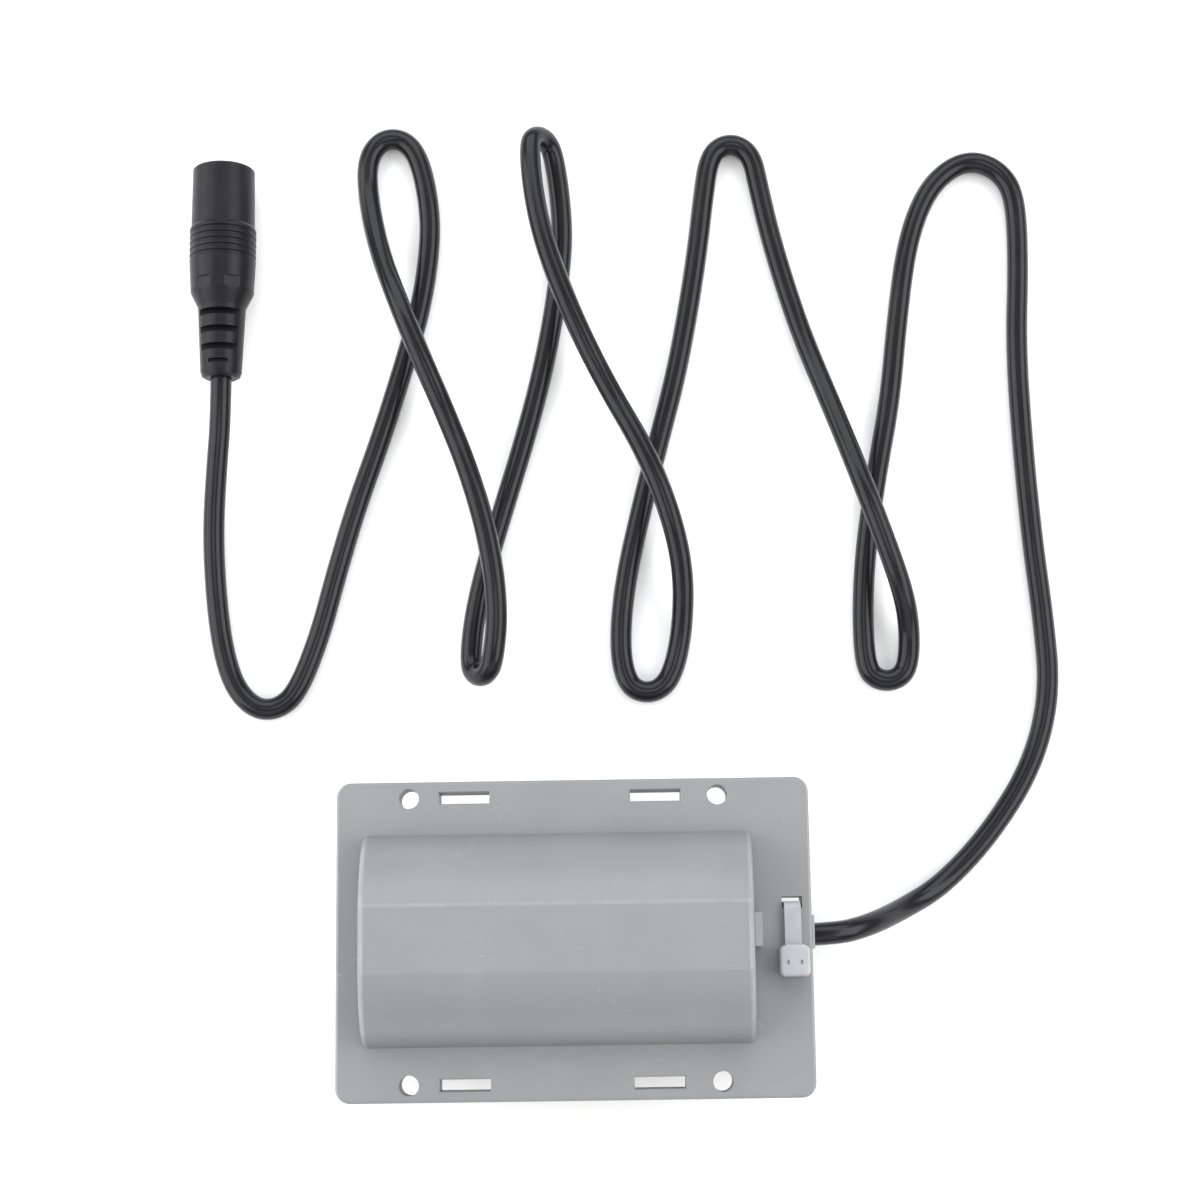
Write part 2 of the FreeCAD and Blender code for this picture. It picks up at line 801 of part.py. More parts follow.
can = motor_can()
end_cap = motor_end_cap()
FRONT_SEAT = "can_front - boss_length + bearing_length / 2"
REAR_SEAT = "can_rear + boss_length - bearing_length / 2"
front_bearing = bearing("front_bearing", FRONT_SEAT)
rear_bearing = bearing("rear_bearing", REAR_SEAT)
fixed_parts = [
    field_magnet("upper_field_magnet", "90"),
    field_magnet("lower_field_magnet", "270"),
    magnet_clip("left_magnet_clip", "0"),
    magnet_clip("right_magnet_clip", "180"),
    brush("left_brush", "1"),
    brush("right_brush", "-1"),
    brush_terminal("left_brush_terminal", "1"),
    brush_terminal("right_brush_terminal", "-1"),
]

# ---------------------------------------------------------------- rotor
TEETH = 3
SHAFT_START = "front_weight_start - shaft_stub"
SHAFT_END = "rear_weight_start + weight_thickness + shaft_stub"


def rotor_shaft():
    body = new_body("rotor_shaft", "motor_shift")
    round_bar = new_sketch(body, "YZ_Plane", "shaft_profile", SHAFT_START)
    circle(round_bar, "0", "0", "shaft_radius")
    bar = pad(body, round_bar, "shaft_bar", f"{SHAFT_END} - ({SHAFT_START})")
    tips = [value(SHAFT_START), value(SHAFT_END)]
    ends = edges_where(bar, lambda p: near(p.x, tips[0]) or near(p.x, tips[1]))
    dress(body, bar, CHAMFER, "shaft_chamfers", ends, Size="shaft_radius / 5")
    return body


def polar(body, feature, name, count):
    pattern = body.newObject("PartDesign::PolarPattern", name)
    pattern.Originals = feature
    pattern.Axis = (next(f for f in body.Origin.OriginFeatures if f.Role == "X_Axis"), [""])
    pattern.Angle = 360
    pattern.Occurrences = count
    body.Tip = pattern
    doc.recompute()
    return pattern


def rotor_core():
    """The laminated core: a hub with three teeth, each spreading into a pole shoe."""
    body = new_body("rotor_core", "motor_shift + magnet_shift")
    start = "0 - core_length / 2"
    hub = new_sketch(body, "YZ_Plane", "core_hub_profile", start)
    circle(hub, "0", "0", "core_hub_radius")
    pad(body, hub, "core_hub", "core_length")
    tooth = new_sketch(body, "YZ_Plane", "core_tooth_profile", start)
    reach = "core_radius - shoe_thickness / 2"
    rectangle(tooth, "0", f"({reach}) / 2", "tooth_width", reach)
    tooth_pad = pad(body, tooth, "core_tooth", "core_length")
    shoe = new_sketch(body, "YZ_Plane", "core_shoe_profile", start)
    span = f"360 / {TEETH} - shoe_gap / core_radius * 180 / pi"
    sector(shoe, "core_radius - shoe_thickness", "core_radius", "90", span)
    shoe_pad = pad(body, shoe, "core_shoe", "core_length")
    polar(body, [tooth_pad, shoe_pad], "core_teeth", TEETH)
    bore = new_sketch(body, "YZ_Plane", "core_bore_profile")
    circle(bore, "0", "0", "shaft_radius")
    pocket(body, bore, "core_bore", middle=True)
    return body


def rotor_windings():
    """One wound coil round each tooth, as three separate solids."""
    coils = doc.addObject("Part::Compound", "rotor_windings")
    coils.Label = "rotor_windings"
    side = "(tooth_width / 2 + seat_clearance + coil_build)"
    under_shoe = f"sqrt(pow(core_radius - shoe_thickness; 2) - pow({side}; 2))"
    low = "core_hub_radius + coil_foot"
    depth = f"({under_shoe} - seat_clearance - ({low}))"
    links = []
    for number in range(TEETH):
        outer = doc.addObject("Part::Box", f"coil_outer_{number}")
        inner = doc.addObject("Part::Box", f"coil_inner_{number}")
        for box, extra, tall, start in (
            (outer, "2 * coil_build", depth, low),
            (inner, "0", f"{depth} * 2", f"{low} - {depth} / 2"),
        ):
            long = f"core_length + 2 * seat_clearance + {extra}"
            wide = f"tooth_width + 2 * seat_clearance + {extra}"
            bind(box, Length=long, Width=wide, Height=tall)
            bind(
                box,
                Placement__Base__x=f"0 - ({long}) / 2",
                Placement__Base__y=f"0 - ({wide}) / 2",
                Placement__Base__z=start,
            )
        doc.recompute()
        rounded = doc.addObject("Part::Fillet", f"coil_rounded_{number}")
        rounded.Base = outer
        turn = value("coil_build") * 0.9
        rounded.Edges = [
            (i, turn, turn)
            for i, edge in enumerate(outer.Shape.Edges, start=1)
            if near(abs(edge.tangentAt(edge.FirstParameter).z), 1)
        ]
        ring = doc.addObject("Part::Cut", f"coil_{number}")
        ring.Base = rounded
        ring.Tool = inner
        turned_by = FreeCAD.Rotation(V(1, 0, 0), 360 * number / TEETH)
        ring.Placement = FreeCAD.Placement(V(0, 0, 0), turned_by)
        bind(ring, Placement__Base__x="motor_shift + magnet_shift", Placement__Base__z="half_height")
        links.append(ring)
    coils.Links = links
    doc.recompute()
    return coils


def commutator_hub():
    body, _ = turned(
        "commutator_hub",
        [
            ("0 - commutator_length / 2", "shaft_radius"),
            ("0 - commutator_length / 2", "commutator_radius - bar_thickness"),
            ("commutator_length / 2", "commutator_radius - bar_thickness"),
            ("commutator_length / 2", "shaft_radius"),
        ],
        "motor_shift + commutator_shift",
    )
    return body


def commutator_bars():
    """Three copper bars on the hub, as separate solids in one node."""
    body = new_body("commutator_bars", "motor_shift + commutator_shift")
    bar = new_sketch(body, "YZ_Plane", "bar_profile", "0 - commutator_length / 2")
    span = f"360 / {TEETH} - bar_gap / commutator_radius * 180 / pi"
    sector(bar, "commutator_radius - bar_thickness", "commutator_radius", "90", span)
    bar_pad = pad(body, bar, "bar", "commutator_length")
    polar(body, [bar_pad], "bars", TEETH)
    return body


def spacer(label, start, end):
    body, _ = turned(
        label,
        [
            (start, "shaft_radius"),
            (start, "spacer_radius"),
            (end, "spacer_radius"),
            (end, "shaft_radius"),
        ],
    )
    return body


def eccentric_weight(label, start):
    """A half-round weight, heavy side down at rest, with a hub on the shaft."""
    body = new_body(label, "motor_shift")
    disc = new_sketch(body, "YZ_Plane", f"{label}_profile", start)
    sector(disc, "weight_hub_radius * 0.6", "weight_radius", "270", "180")
    pad(body, disc, f"{label}_half_disc", "weight_thickness")
    hub = new_sketch(body, "YZ_Plane", f"{label}_hub_profile", start)
    circle(hub, "0", "0", "weight_hub_radius")
    pad(body, hub, f"{label}_hub", "weight_thickness")
    bore = new_sketch(body, "YZ_Plane", f"{label}_bore_profile")
    circle(bore, "0", "0", "shaft_radius")
    pocket(body, bore, f"{label}_bore", middle=True)
    return body


rotor_parts = [
    rotor_shaft(),
    rotor_core(),
    rotor_windings(),
    commutator_hub(),
    commutator_bars(),
    spacer(
        "front_spacer",
        f"{FRONT_SEAT} + bearing_length / 2 + end_play",
        "magnet_shift - core_length / 2",
    ),
    spacer("rear_spacer", f"{REAR_SEAT} + bearing_length / 2 + end_play", "rear_weight_start"),
    eccentric_weight("front_eccentric_weight", "front_weight_start"),
    eccentric_weight("rear_eccentric_weight", "rear_weight_start"),
]


# ---------------------------------------------------------------- tubes along a route
def rounded_path(points, share=0.45, longest=math.inf):
    """Straight runs joined by tangent arcs, and the radius of each arc.

    An arc takes a share of the shorter of its two runs, and never more than the longest reach.
    """
    ends = [points[0]]
    edges = []
    radii = []
    for before, here, after in zip(points, points[1:], points[2:]):
        back, on = before - here, after - here
        reach = min(share * min(back.Length, on.Length), longest)
        back.normalize()
        on.normalize()
        turn = math.pi - back.getAngle(on)
        radius = reach / math.tan(turn / 2)
        radii.append(radius)
        start, end = here + back * reach, here + on * reach
        inward = back + on
        inward.normalize()
        middle = here + inward * (math.hypot(radius, reach) - radius)
        edges.append(Part.LineSegment(ends[-1], start).toShape())
        edges.append(Part.Arc(start, middle, end).toShape())
        ends.append(end)
    edges.append(Part.LineSegment(ends[-1], points[-1]).toShape())
    return Part.Wire(edges), radii


def tube(label, points, diameter, longest=math.inf):
    """A round tube along a route, checked against its section times its length."""
    path, radii = rounded_path(points, longest=longest)
    direction = points[1] - points[0]
    ring = Part.Wire(Part.makeCircle(diameter / 2, points[0], direction))
    solid = path.makePipeShell([ring], True, True)
    expected = math.pi * diameter**2 / 4 * path.Length
    print(f"{label}: length {path.Length:.1f}, smallest radius {min(radii):.2f}")
    print(f"{label}: volume {solid.Volume:.1f}, section times length {expected:.1f}")
    print(f"{label}: radii " + " ".join(f"{r:.1f}" for r in radii))
    thing = doc.addObject("Part::Feature", label)
    thing.Label = label
    thing.Shape = solid
    return thing


LEAD = value("lead_diameter")
ON_FLOOR = LEAD / 2
AXIS = value("half_height")
LEAD_START = value("dome_right - shell_wall")
FLANGE_END = value("flange_length / 2")
# The lead's way out: straight through the housing and past its flange, then down to the surface.
WAY_OUT = [
    (LEAD_START, 0, AXIS), (FLANGE_END + 3.0, 0, AXIS), (FLANGE_END + 9.6, 1.5, 0.8 * AXIS),
    (FLANGE_END + 16.4, 4.5, 0.3125 * AXIS), (FLANGE_END + 23.3, 8.4, ON_FLOOR),
]
# Then it lies in five long loops. Where one strand crosses another, the upper one is raised.
LOOPS = [
    (68.9, 16.6, ON_FLOOR), (76.5, 27.9, ON_FLOOR),
    (80.0, 40.1, ON_FLOOR), (79.4, 53.2, ON_FLOOR), (78.2, 66.1, ON_FLOOR),
    (77.3, 83.6, ON_FLOOR), (77.0, 100.4, ON_FLOOR), (78.1, 115.2, ON_FLOOR), (78.1, 127.2, ON_FLOOR),
    (75.6, 131.8, ON_FLOOR), (71.2, 133.9, ON_FLOOR), (66.6, 132.4, ON_FLOOR), (62.2, 127.6, ON_FLOOR),
    (58.8, 118.5, ON_FLOOR), (56.6, 104.3, ON_FLOOR), (55.0, 91.0, ON_FLOOR), (52.3, 78.4, ON_FLOOR),
    (50.0, 65.7, ON_FLOOR), (49.0, 54.2, ON_FLOOR), (49.2, 44.7, ON_FLOOR), (51.3, 42.5, ON_FLOOR),
    (54.3, 42.5, ON_FLOOR), (56.4, 44.7, ON_FLOOR), (56.7, 51.1, 3.2), (55.3, 56.9, 7.2),
    (52.2, 65.8, 9.0), (48.6, 76.2, 9.0), (44.5, 90.1, 4.2), (40.4, 102.2, ON_FLOOR),
    (37.4, 112.3, ON_FLOOR), (35.0, 121.8, ON_FLOOR), (33.4, 130.0, ON_FLOOR), (32.5, 135.0, ON_FLOOR),
    (30.2, 137.4, ON_FLOOR), (27.2, 137.4, ON_FLOOR), (24.9, 135.0, ON_FLOOR), (23.8, 128.1, ON_FLOOR),
    (22.7, 119.4, ON_FLOOR), (20.9, 108.4, ON_FLOOR), (18.4, 96.0, ON_FLOOR), (15.2, 84.4, ON_FLOOR),
    (12.0, 72.4, ON_FLOOR), (9.2, 60.6, ON_FLOOR), (8.1, 51.5, ON_FLOOR), (8.4, 45.0, ON_FLOOR),
    (10.2, 41.4, ON_FLOOR), (14.0, 41.0, ON_FLOOR), (16.8, 43.9, ON_FLOOR), (18.6, 51.5, 2.4),
    (18.9, 61.1, 6.0), (16.7, 70.7, 9.0), (12.7, 81.1, 9.0), (6.6, 92.6, 7.4),
    (1.3, 103.5, 9.0), (-3.6, 116.7, 9.0), (-5.7, 126.9, 8.6), (-6.3, 136.0, 7.9),
    (-5.1, 138.1, 6.2), (-3.4, 138.1, 3.8), (-2.2, 136.0, 2.1), (-1.1, 127.8, ON_FLOOR),
    (-0.8, 119.6, ON_FLOOR), (-2.1, 109.2, ON_FLOOR), (-4.4, 97.3, ON_FLOOR), (-7.7, 84.9, ON_FLOOR),
    (-11.5, 72.7, ON_FLOOR), (-14.6, 62.4, ON_FLOOR), (-16.6, 53.5, ON_FLOOR), (-17.2, 46.0, 2.1),
    (-16.0, 43.9, 3.8), (-14.2, 43.9, 6.2), (-13.0, 46.0, 7.9), (-12.1, 54.3, 9.0),
    (-13.4, 65.3, 9.0), (-16.6, 77.3, 9.0), (-20.9, 88.6, 7.6), (-25.0, 98.2, 9.0),
    (-28.9, 107.9, 9.0), (-32.5, 118.4, 4.2), (-34.6, 128.4, ON_FLOOR), (-34.9, 135.6, ON_FLOOR),
    (-32.5, 139.3, ON_FLOOR), (-28.9, 139.6, ON_FLOOR), (-26.0, 136.6, ON_FLOOR), (-24.2, 129.1, ON_FLOOR),
    (-23.7, 120.9, ON_FLOOR), (-25.3, 109.2, ON_FLOOR), (-28.6, 97.6, ON_FLOOR), (-32.4, 85.3, ON_FLOOR),
    (-36.4, 74.0, ON_FLOOR), (-39.9, 61.9, ON_FLOOR), (-42.5, 51.7, ON_FLOOR), (-46.2, 42.0, ON_FLOOR),
    (-49.6, 39.1, ON_FLOOR), (-53.4, 39.3, ON_FLOOR), (-56.8, 42.9, ON_FLOOR), (-58.9, 49.4, ON_FLOOR),
    (-60.2, 58.8, ON_FLOOR), (-60.8, 70.0, 2.2), (-59.9, 81.0, 4.4),
]
socket_end = V(value("socket_x"), value("socket_y"), value("socket_height"))
route = [V(*point) for point in WAY_OUT + LOOPS]
route += [socket_end - V(0, 7.6, 0), socket_end]
power_lead = tube("power_lead", route, LEAD)

WIRE = value("wire_diameter")
TERMINAL_END = value("motor_shift + can_rear + terminal_reach")
WALL_LANE = value("wire_lane")
wires = []
for wire_label, side in (("red_wire", 1), ("black_wire", -1)):
    start = V(TERMINAL_END - WIRE / 2, side * (value("terminal_offset") + WIRE / 2), AXIS)
    turn_in = LEAD_START - WIRE - value("shell_wall") / 4
    wires.append(
        tube(
            wire_label,
            [
                start + V(0, -side * WIRE / 2, 0),
                V(start.x, side * WALL_LANE, AXIS),
                V(turn_in, side * WALL_LANE, AXIS),
                V(turn_in, side * WIRE * 0.6, AXIS),
                V(LEAD_START, side * WIRE * 0.6, AXIS),
            ],
            WIRE,
            longest=WIRE * 1.2,
        )
    )

# ---------------------------------------------------------------- power socket
# In these bodies the own origin is the middle of the socket's cable end, +Y towards its mouth.


GROOVES = 3


def socket_profile_body(label, points):
    """A body turned about the socket's axis from (radius, along) expressions."""
    body = new_body(label, "socket_x", "socket_y", "socket_height")
    sketch = new_sketch(body, "XY_Plane", f"{label}_profile")
    outline(sketch, points)
    return body, spin(body, sketch, f"{label}_turned", axis="V_Axis")


def socket_housing():
    """The moulded body: a grooved strain relief, a shoulder, five rings and a barrel."""
    shoulder = "relief_length + shoulder_length"
    rings = f"{shoulder} + grip_length / 2"
    points = [
        ("0", "0"),
        ("relief_end_radius - 0.9", "0"),
        ("relief_end_radius - 0.25", "0.35"),
        ("relief_end_radius", "1.1"),
        ("relief_radius", "relief_length"),
        ("shoulder_radius - 0.3", f"{shoulder} - 0.4"),
        ("shoulder_radius", f"{shoulder} + 0.3"),
        ("grip_radius", rings),
    ]
    for number in range(int(value("ring_count"))):
        low = f"{rings} + {number} * ring_pitch"
        points += [
            ("grip_radius - ring_depth", f"{low} + 0.15 * ring_pitch"),
            ("grip_radius - ring_depth", f"{low} + 0.45 * ring_pitch"),
            ("grip_radius", f"{low} + 0.6 * ring_pitch"),
            ("grip_radius", f"{low} + ring_pitch"),
        ]
    points += [
        ("front_radius + 0.1", f"{rings} + ring_count * ring_pitch + 0.5"),
        ("front_radius", "socket_length - 0.3"),
        ("front_radius - 0.3", "socket_length"),
        ("insert_radius", "socket_length"),
        ("insert_radius", "socket_length - insert_depth"),
        ("0", "socket_length - insert_depth"),
    ]
    body, _ = socket_profile_body("socket_housing", points)
    # flexing grooves across the strain relief, above and below
    grooves = new_sketch(body, "YZ_Plane", "relief_groove_profile")
    for number in range(GROOVES):
        along = f"groove_first + {number} * groove_pitch"
        for sign in ("0 +", "0 -"):
            middle = f"{sign} (lead_diameter / 2 + groove_web + relief_radius / 2)"
            rectangle(grooves, along, middle, "groove_width", "relief_radius")
    pocket(body, grooves, "relief_grooves", middle=True)
    # one short slot on top, next to the lead
    vent = new_sketch(body, "XY_Plane", "relief_vent_plan", "relief_end_radius - vent_depth")
    rectangle(vent, "0", "vent_place", "vent_length", "vent_width")
    pocket(body, vent, "relief_vent", backwards=True)
    # two thumb flats on the shoulder, turned to either side of the top
    flats = new_sketch(body, "XZ_Plane", "shoulder_flat_profile", "0 - flat_place")
    sine, cosine = "sin(flat_angle * 1deg)", "cos(flat_angle * 1deg)"
    near_side, far_side = "(shoulder_radius - flat_depth)", "(shoulder_radius * 1.3)"
    half = "flat_length / 2"
    for sign in ("", "0 -"):
        corners = []
        for out, along in ((near_side, "-"), (near_side, "+"), (far_side, "+"), (far_side, "-")):
            across = f"{sign} ({out} * {sine} {along} {half} * {cosine})"
            turn_back = "+" if along == "-" else "-"
            corners.append((across, f"{out} * {cosine} {turn_back} {half} * {sine}"))
        outline(flats, corners)
    pocket(body, flats, "shoulder_flats", "flat_length", middle=True)
    return body


def socket_insert():
    """The hard tube in the housing's mouth, with the hollow that the plug's barrel enters."""
    back, mouth = "socket_length - insert_depth", "socket_length - 0.2"
    body, _ = socket_profile_body(
        "socket_insert",
        [
            ("pin_root_radius", back),
            ("insert_radius", back),
            ("insert_radius", mouth),
            ("barrel_radius + pin_lead_in", mouth),
            ("barrel_radius", f"{mouth} - pin_lead_in"),
            ("barrel_radius", "socket_length - barrel_depth"),
            ("pin_root_radius", "socket_length - barrel_depth"),
        ],
    )
    slot = new_sketch(body, "XZ_Plane", "insert_spring_slot", "0 - socket_length + insert_depth / 2")
    rectangle(
        slot,
        "0",
        "barrel_radius + spring_thickness / 2 - 0.1",
        "spring_width",
        "spring_thickness + 0.2",
    )
    pocket(body, slot, "insert_slot", "insert_depth", middle=True)
    return body


def socket_spring():
    """The side contact: a strip in the insert's slot that the plug's barrel slides under."""
    body = new_body("socket_spring_contact", "socket_x", "socket_y", "socket_height")
    strip = new_sketch(body, "XZ_Plane", "spring_strip_profile", "0 - socket_length + insert_depth / 2")
    rectangle(strip, "0", "barrel_radius + spring_thickness / 2", "spring_width", "spring_thickness")
    pad(body, strip, "spring_strip", "insert_depth - 1", middle=True)
    return body


def socket_pin():
    """The centre pin, with a thicker root that is moulded into the insert's floor."""
    body, _ = socket_profile_body(
        "socket_center_pin",
        [
            ("0", "socket_length - insert_depth"),
            ("pin_root_radius", "socket_length - insert_depth"),
            ("pin_root_radius", "socket_length - barrel_depth"),
            ("pin_radius", "socket_length - barrel_depth"),
            ("pin_radius", "socket_length - pin_recess - pin_lead_in"),
            ("pin_radius * 0.6", "socket_length - pin_recess"),
            ("0", "socket_length - pin_recess"),
        ],
    )
    return body


socket_parts = [socket_housing(), socket_insert(), socket_spring(), socket_pin()]

# ---------------------------------------------------------------- check and export
NODES = [upper_shell, lower_shell, tie, can, end_cap, front_bearing, rear_bearing]
NODES += fixed_parts + rotor_parts + wires + [power_lead] + socket_parts

doc.recompute()
for thing in doc.Objects:
    if "Invalid" in thing.State or "Error" in thing.State:
        raise RuntimeError(f"{thing.Label} failed: {thing.State}")
os.makedirs("parts", exist_ok=True)
for node in NODES:
    if node.Shape.isNull() or not node.Shape.isValid():
        raise RuntimeError(f"{node.Label} has no valid shape")
for node in NODES:
    node.Shape.exportStep(f"parts/{node.Label}.step")
    box = node.Shape.BoundBox
    print(
        f"{node.Label}: {len(node.Shape.Solids)} solids, {node.Shape.Volume:.1f} mm3, "
        f"x {box.XMin:.2f} {box.XMax:.2f} y {box.YMin:.2f} {box.YMax:.2f} z {box.ZMin:.2f} {box.ZMax:.2f}"
    )
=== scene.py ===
"""Looks for the vibration motor, its lead and its power socket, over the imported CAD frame."""

import json
import math

import bpy
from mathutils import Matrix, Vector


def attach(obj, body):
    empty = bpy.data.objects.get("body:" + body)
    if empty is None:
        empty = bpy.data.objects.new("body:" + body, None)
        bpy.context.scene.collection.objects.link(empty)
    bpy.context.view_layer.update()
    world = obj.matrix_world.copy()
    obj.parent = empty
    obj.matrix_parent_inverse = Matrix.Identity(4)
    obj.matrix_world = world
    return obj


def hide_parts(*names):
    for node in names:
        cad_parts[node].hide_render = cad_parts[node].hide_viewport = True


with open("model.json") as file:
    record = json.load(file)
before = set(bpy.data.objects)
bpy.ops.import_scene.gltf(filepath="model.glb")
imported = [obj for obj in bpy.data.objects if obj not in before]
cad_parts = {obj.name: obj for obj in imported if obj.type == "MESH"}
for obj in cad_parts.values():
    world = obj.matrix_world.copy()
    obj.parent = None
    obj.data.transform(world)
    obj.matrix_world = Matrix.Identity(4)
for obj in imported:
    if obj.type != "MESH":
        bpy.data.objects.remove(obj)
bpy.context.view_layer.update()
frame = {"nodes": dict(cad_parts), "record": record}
NODES = frame["nodes"]
MM = 0.001


# ---------------------------------------------------------------- camera
def make_camera():
    """Looks almost straight down from 0.38 m, leaning a little towards the lead."""
    data = bpy.data.cameras.new("camera")
    data.sensor_width = 36.0
    data.lens = 67.86
    camera = bpy.data.objects.new("camera", data)
    camera.rotation_mode = "ZYX"
    camera.rotation_euler = [math.radians(a) for a in (9.842, 0.263, -0.874)]
    camera.location = (0.00654, -0.00841, 0.37846)
    bpy.context.scene.collection.objects.link(camera)
    bpy.context.scene.camera = camera


# ---------------------------------------------------------------- the lead
# Sizes and route points in millimetres, as the CAD source has them. AXIS is the shaft's height,
# which is also where the two halves of the housing meet.
LEAD = 3.6
ON_FLOOR = LEAD / 2
AXIS = 16.0
FLANGE_END = 37.5
LEAD_START = 26.35
WAY_OUT = [
    (LEAD_START, 0, AXIS), (FLANGE_END + 3.0, 0, AXIS), (FLANGE_END + 9.6, 1.5, 0.8 * AXIS),
    (FLANGE_END + 16.4, 4.5, 0.3125 * AXIS), (FLANGE_END + 23.3, 8.4, ON_FLOOR),
]
LOOPS = [
    (68.9, 16.6, ON_FLOOR), (76.5, 27.9, ON_FLOOR), (80.0, 40.1, ON_FLOOR), (79.4, 53.2, ON_FLOOR),
    (78.2, 66.1, ON_FLOOR), (77.3, 83.6, ON_FLOOR), (77.0, 100.4, ON_FLOOR),
    (78.1, 115.2, ON_FLOOR), (78.1, 127.2, ON_FLOOR), (75.6, 131.8, ON_FLOOR),
    (71.2, 133.9, ON_FLOOR), (66.6, 132.4, ON_FLOOR), (62.2, 127.6, ON_FLOOR),
    (58.8, 118.5, ON_FLOOR), (56.6, 104.3, ON_FLOOR), (55.0, 91.0, ON_FLOOR),
    (52.3, 78.4, ON_FLOOR), (50.0, 65.7, ON_FLOOR), (49.0, 54.2, ON_FLOOR), (49.2, 44.7, ON_FLOOR),
    (51.3, 42.5, ON_FLOOR), (54.3, 42.5, ON_FLOOR), (56.4, 44.7, ON_FLOOR), (56.7, 51.1, 3.2),
    (55.3, 56.9, 7.2), (52.2, 65.8, 9.0), (48.6, 76.2, 9.0), (44.5, 90.1, 4.2),
    (40.4, 102.2, ON_FLOOR), (37.4, 112.3, ON_FLOOR), (35.0, 121.8, ON_FLOOR),
    (33.4, 130.0, ON_FLOOR), (32.5, 135.0, ON_FLOOR), (30.2, 137.4, ON_FLOOR),
    (27.2, 137.4, ON_FLOOR), (24.9, 135.0, ON_FLOOR), (23.8, 128.1, ON_FLOOR),
    (22.7, 119.4, ON_FLOOR), (20.9, 108.4, ON_FLOOR), (18.4, 96.0, ON_FLOOR),
    (15.2, 84.4, ON_FLOOR), (12.0, 72.4, ON_FLOOR), (9.2, 60.6, ON_FLOOR), (8.1, 51.5, ON_FLOOR),
    (8.4, 45.0, ON_FLOOR), (10.2, 41.4, ON_FLOOR), (14.0, 41.0, ON_FLOOR), (16.8, 43.9, ON_FLOOR),
    (18.6, 51.5, 2.4), (18.9, 61.1, 6.0), (16.7, 70.7, 9.0), (12.7, 81.1, 9.0), (6.6, 92.6, 7.4),
    (1.3, 103.5, 9.0), (-3.6, 116.7, 9.0), (-5.7, 126.9, 8.6), (-6.3, 136.0, 7.9),
    (-5.1, 138.1, 6.2), (-3.4, 138.1, 3.8), (-2.2, 136.0, 2.1), (-1.1, 127.8, ON_FLOOR),
    (-0.8, 119.6, ON_FLOOR), (-2.1, 109.2, ON_FLOOR), (-4.4, 97.3, ON_FLOOR),
    (-7.7, 84.9, ON_FLOOR), (-11.5, 72.7, ON_FLOOR), (-14.6, 62.4, ON_FLOOR),
    (-16.6, 53.5, ON_FLOOR), (-17.2, 46.0, 2.1), (-16.0, 43.9, 3.8), (-14.2, 43.9, 6.2),
    (-13.0, 46.0, 7.9), (-12.1, 54.3, 9.0), (-13.4, 65.3, 9.0), (-16.6, 77.3, 9.0),
    (-20.9, 88.6, 7.6), (-25.0, 98.2, 9.0), (-28.9, 107.9, 9.0), (-32.5, 118.4, 4.2),
    (-34.6, 128.4, ON_FLOOR), (-34.9, 135.6, ON_FLOOR), (-32.5, 139.3, ON_FLOOR),
    (-28.9, 139.6, ON_FLOOR), (-26.0, 136.6, ON_FLOOR), (-24.2, 129.1, ON_FLOOR),
    (-23.7, 120.9, ON_FLOOR), (-25.3, 109.2, ON_FLOOR), (-28.6, 97.6, ON_FLOOR),
    (-32.4, 85.3, ON_FLOOR), (-36.4, 74.0, ON_FLOOR), (-39.9, 61.9, ON_FLOOR),
    (-42.5, 51.7, ON_FLOOR), (-46.2, 42.0, ON_FLOOR), (-49.6, 39.1, ON_FLOOR),
    (-53.4, 39.3, ON_FLOOR), (-56.8, 42.9, ON_FLOOR), (-58.9, 49.4, ON_FLOOR),
    (-60.2, 58.8, ON_FLOOR), (-60.8, 70.0, 2.2), (-59.9, 81.0, 4.4),
]
TO_SOCKET = [(-59.2, 87.9, 5.7), (-59.2, 95.5, 5.7)]


def make_lead():
    """One smooth curve through the route, in place of the solid lead."""
    curve = bpy.data.curves.new("lead", "CURVE")
    curve.dimensions = "3D"
    spline = curve.splines.new("NURBS")
    points = WAY_OUT + LOOPS + TO_SOCKET
    spline.points.add(len(points) - 1)
    for place, point in zip(spline.points, points):
        place.co = (*(MM * x for x in point), 1.0)
        place.radius = MM  # the bevel is in millimetres
    spline.order_u = 3
    spline.use_endpoint_u = True
    spline.use_smooth = True
    curve.bevel_depth = LEAD / 2
    curve.bevel_resolution = 6
    curve.resolution_u = 10
    curve.use_fill_caps = True
    lead = bpy.data.objects.new("lead", curve)
    bpy.context.scene.collection.objects.link(lead)
    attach(lead, "housing")
    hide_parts("power_lead")
    return lead


# ---------------------------------------------------------------- materials
WAVE_TURN = 20.0  # the wave texture turns this many radians per unit at scale 1
FLANGE_TOP = AXIS + 3.0
DOME_TOP = 2 * AXIS
GUARD_START = 28.45  # just past the dome's right end
HAIR = 0.1  # clears a face that a mask must leave out
WIRE_PITCH = 0.28
SHEET_PITCH = 0.5


